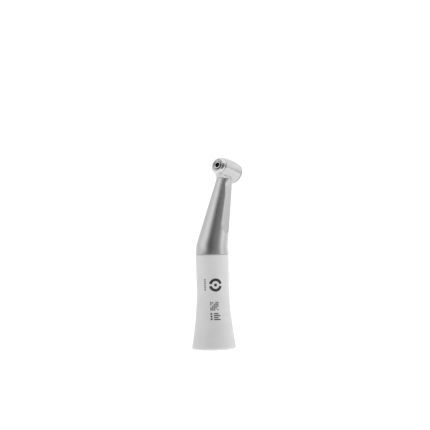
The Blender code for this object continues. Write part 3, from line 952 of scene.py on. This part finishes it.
def make_springs():
    """The dog's spring and the button's spring, as round wire coils, each with a mesh of its own."""
    wire_r = 0.13
    high = 25.73
    spring = coil("dog_spring_wire", 1.85, wire_r, 22.77, high, 3.5, HANDLE)
    finish_piece(spring, SLOTS["bright_steel"], "bright_steel", "drive_line", "dog_spring")
    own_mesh(spring)

    wire_r = 0.1
    low = 5.69
    spring = coil("button_spring_wire", 2.4, wire_r, low, 6.33, 1.75, HEAD)
    finish_piece(spring, SLOTS["bright_steel"], "bright_steel", "housing", "button_spring")
    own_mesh(spring)


def dress_inner_nodes():
    """Every CAD node that is still shown gets its slot's material and clean edges."""
    for node in frame["record"]["subparts"]:
        obj = frame["nodes"][node["node"]]
        if obj.hide_render:
            continue
        obj.data.materials.clear()
        obj.data.materials.append(SLOTS[node["material_slot"]])
        obj.data.shade_smooth()
        obj.data.set_sharp_from_angle(angle=math.radians(30.0))


# ---------------------------------------------------------------- stage, light and camera

CAMERA_AZIMUTH = math.radians(-51.6)
CAMERA_ELEVATION = math.radians(1.45)
CAMERA_ROLL = math.radians(-1.26)
CAMERA_DISTANCE = 0.7
CAMERA_LENS = 127.95
MIDDLE = Vector((0.005, 0.0, 0.044))
AIM_RIGHT = -0.00142  # how far from the middle the camera points, in metres
AIM_UP = 0.0170


def from_camera(turn_deg, rise_deg, distance):
    """A point seen from the object's middle, turned to the right of the camera and raised."""
    turn = math.radians(turn_deg)
    rise = math.radians(rise_deg)
    angle = CAMERA_AZIMUTH + turn
    way = Vector((math.sin(angle), -math.cos(angle), 0.0)) * math.cos(rise)
    way.z = math.sin(rise)
    return MIDDLE + way * distance


def aim(obj, target, roll=0.0):
    """Turns a camera or light to face the target."""
    way = target - obj.location
    turn = way.to_track_quat("-Z", "Y").to_matrix().to_4x4()
    obj.matrix_world = Matrix.Translation(obj.location) @ turn @ Matrix.Rotation(roll, 4, "Z")


def make_camera():
    """The camera: a long lens nearly level with the middle, pointed a little above it."""
    data = bpy.data.cameras.new("camera")
    data.lens = CAMERA_LENS
    data.sensor_width = 36.0
    data.clip_start = 0.01
    data.clip_end = 20.0
    camera = bpy.data.objects.new("camera", data)
    bpy.context.scene.collection.objects.link(camera)
    way = from_camera(0.0, math.degrees(CAMERA_ELEVATION), 1.0) - MIDDLE
    camera.location = MIDDLE + way * CAMERA_DISTANCE
    right = Vector((0.0, 0.0, 1.0)).cross(way).normalized()
    up = way.cross(right)
    aim(camera, MIDDLE + right * AIM_RIGHT + up * AIM_UP, CAMERA_ROLL)
    bpy.context.scene.camera = camera


LIGHT_RISE = 20.0
LIGHT_DISTANCE = 0.7
LIGHT_HEIGHT = 0.6


def area_light(name, turn_deg, width, power):
    """A soft light beside the object and a little above it, which reflections don't see."""
    data = bpy.data.lights.new(name, "AREA")
    data.shape = "RECTANGLE"
    data.size = width
    data.size_y = LIGHT_HEIGHT
    data.energy = power
    light = bpy.data.objects.new(name, data)
    bpy.context.scene.collection.objects.link(light)
    light.location = from_camera(turn_deg, LIGHT_RISE, LIGHT_DISTANCE)
    aim(light, MIDDLE)
    light.visible_camera = False
    light.visible_glossy = False


# Tone of the tent's wall against the turn from the camera in degrees, as polished metal sees it
LOW_WALL = (
    (-180, 0.95),
    (-120, 0.80),
    (-85, 0.78),
    (-66, 0.55),
    (-52, 0.34),
    (-36, 0.22),
    (-14, 0.18),
    (7, 0.30),
    (28, 0.33),
    (51, 0.48),
    (68, 0.86),
    (80, 0.92),
    (104, 0.74),
    (124, 0.95),
    (180, 0.95),
)
HIGH_WALL = (
    (-180, 1.0),
    (-135, 0.74),
    (-100, 0.88),
    (-80, 1.0),
    (-62, 0.96),
    (-46, 0.64),
    (-30, 0.22),
    (-12, 0.10),
    (5, 0.15),
    (24, 0.23),
    (42, 0.27),
    (54, 0.42),
    (64, 0.62),
    (76, 1.0),
    (85, 1.15),
    (130, 1.15),
    (180, 1.0),
)
WALL_R = 0.5
WALL_TOP = 0.62
LOW_WALL_TO = 0.10  # the low tones give way to the high ones between these heights
HIGH_WALL_FROM = 0.19


def tone_ramp(tree, turn, stops):
    """A ramp of grey tones; turn is 0 to 1 for -180 to 180 degrees."""
    made = tree.nodes.new("ShaderNodeValToRGB")
    elements = made.color_ramp.elements
    for position, (degrees, tone) in enumerate(stops):
        share = (degrees + 180) / 360
        if position == 0:
            element = elements[0]
        elif position == len(stops) - 1:
            element = elements[-1]
        else:
            element = elements.new(share)
        element.position = share
        element.color = (tone, tone, tone, 1.0)
    tree.links.new(turn, made.inputs["Fac"])
    return made.outputs["Color"]


def wall_look():
    """A glowing wall whose tone depends on the turn round it and on the height."""
    material, tree, shader = principled("tent_wall_look", grey(0.0), 1.0, 0.0)
    source = tree.nodes.new("ShaderNodeTexCoord")
    split = tree.nodes.new("ShaderNodeSeparateXYZ")
    tree.links.new(source.outputs["Object"], split.inputs["Vector"])
    forward = tree.nodes.new("ShaderNodeMath")
    forward.operation = "MULTIPLY"
    forward.inputs[1].default_value = -1.0
    tree.links.new(split.outputs["Y"], forward.inputs[0])
    angle = tree.nodes.new("ShaderNodeMath")
    angle.operation = "ARCTAN2"
    tree.links.new(split.outputs["X"], angle.inputs[0])
    tree.links.new(forward.outputs["Value"], angle.inputs[1])
    turn = ramp(tree, angle.outputs["Value"], 0.0, 1.0, -math.pi, math.pi)
    mix = tree.nodes.new("ShaderNodeMix")
    mix.data_type = "RGBA"
    rise = ramp(tree, split.outputs["Z"], 0.0, 1.0, LOW_WALL_TO, HIGH_WALL_FROM)
    tree.links.new(rise, mix.inputs["Factor"])
    tree.links.new(tone_ramp(tree, turn, LOW_WALL), mix.inputs["A"])
    tree.links.new(tone_ramp(tree, turn, HIGH_WALL), mix.inputs["B"])
    tree.links.new(mix.outputs["Result"], shader.inputs["Emission Color"])
    shader.inputs["Emission Strength"].default_value = 1.0
    return material


def make_tent_wall():
    """A round wall of light and dark tones, which only reflections see."""
    segments = 96
    shape = bmesh.new()
    low = bmesh.ops.create_circle(shape, segments=segments, radius=WALL_R)["verts"]
    top = Matrix.Translation((0.0, 0.0, WALL_TOP))
    high = bmesh.ops.create_circle(shape, segments=segments, radius=WALL_R, matrix=top)["verts"]
    bridge(shape, low, high)
    facing = Matrix.Rotation(CAMERA_AZIMUTH, 4, "Z")
    place = Matrix.Translation((MIDDLE.x, 0.0, 0.0)) @ facing
    wall = new_piece("tent_wall", mesh_from(shape, "tent_wall"), place)
    wall.data.materials.append(wall_look())
    wall.visible_camera = False
    wall.visible_diffuse = False
    wall.visible_shadow = False


FLOOR_GLOW = 0.66
FLOOR_R = 3.0


def make_stage():
    """A round pale floor, lit a little from within so that its edge fades into the white."""
    shape = bmesh.new()
    bmesh.ops.create_circle(shape, cap_ends=True, segments=96, radius=FLOOR_R)
    floor = new_piece("floor", mesh_from(shape, "floor"))
    material, tree, shader = principled("floor_look", grey(0.9), 0.7, 0.0)
    paper = noise(tree, object_position(tree, (0.02, 0.02, 0.02)))
    vary_colour(tree, shader, ramp(tree, paper, 0.0, 1.0), grey(0.90), grey(0.92))
    shader.inputs["Specular IOR Level"].default_value = 0.0
    shader.inputs["Emission Color"].default_value = (1.0, 1.0, 1.0, 1.0)
    shader.inputs["Emission Strength"].default_value = FLOOR_GLOW
    floor.data.materials.append(material)


WORLD_SEEN = 1.1  # what the camera and reflections see
WORLD_LIGHT = 0.42  # what lights matt surfaces


def make_world():
    """A white light tent, a little weaker as light than as what is seen in it."""
    world = bpy.data.worlds.new("studio")
    world.use_nodes = True
    tree = world.node_tree
    background = tree.nodes["Background"]
    background.inputs["Color"].default_value = (1.0, 1.0, 1.0, 1.0)
    rays = tree.nodes.new("ShaderNodeLightPath")
    strength = tree.nodes.new("ShaderNodeMapRange")
    strength.inputs["To Min"].default_value = WORLD_SEEN
    strength.inputs["To Max"].default_value = WORLD_LIGHT
    tree.links.new(rays.outputs["Is Diffuse Ray"], strength.inputs["Value"])
    tree.links.new(strength.outputs["Result"], background.inputs["Strength"])
    bpy.context.scene.world = world


def make_lights():
    area_light("key_left", -85.0, 0.5, 0.75)
    area_light("fill_right", 88.0, 0.4, 1.4)
    bpy.context.scene.view_settings.view_transform = "Standard"


def main():
    make_grip_sleeve()
    make_marks()
    make_neck_sheath()
    make_head()
    make_neck_tube()
    make_nose_cone()
    make_nose_face()
    make_spindle()
    make_cap()
    make_button()
    make_socket()
    make_springs()
    dress_inner_nodes()
    make_stage()
    make_world()
    make_tent_wall()
    make_lights()
    make_camera()


main()
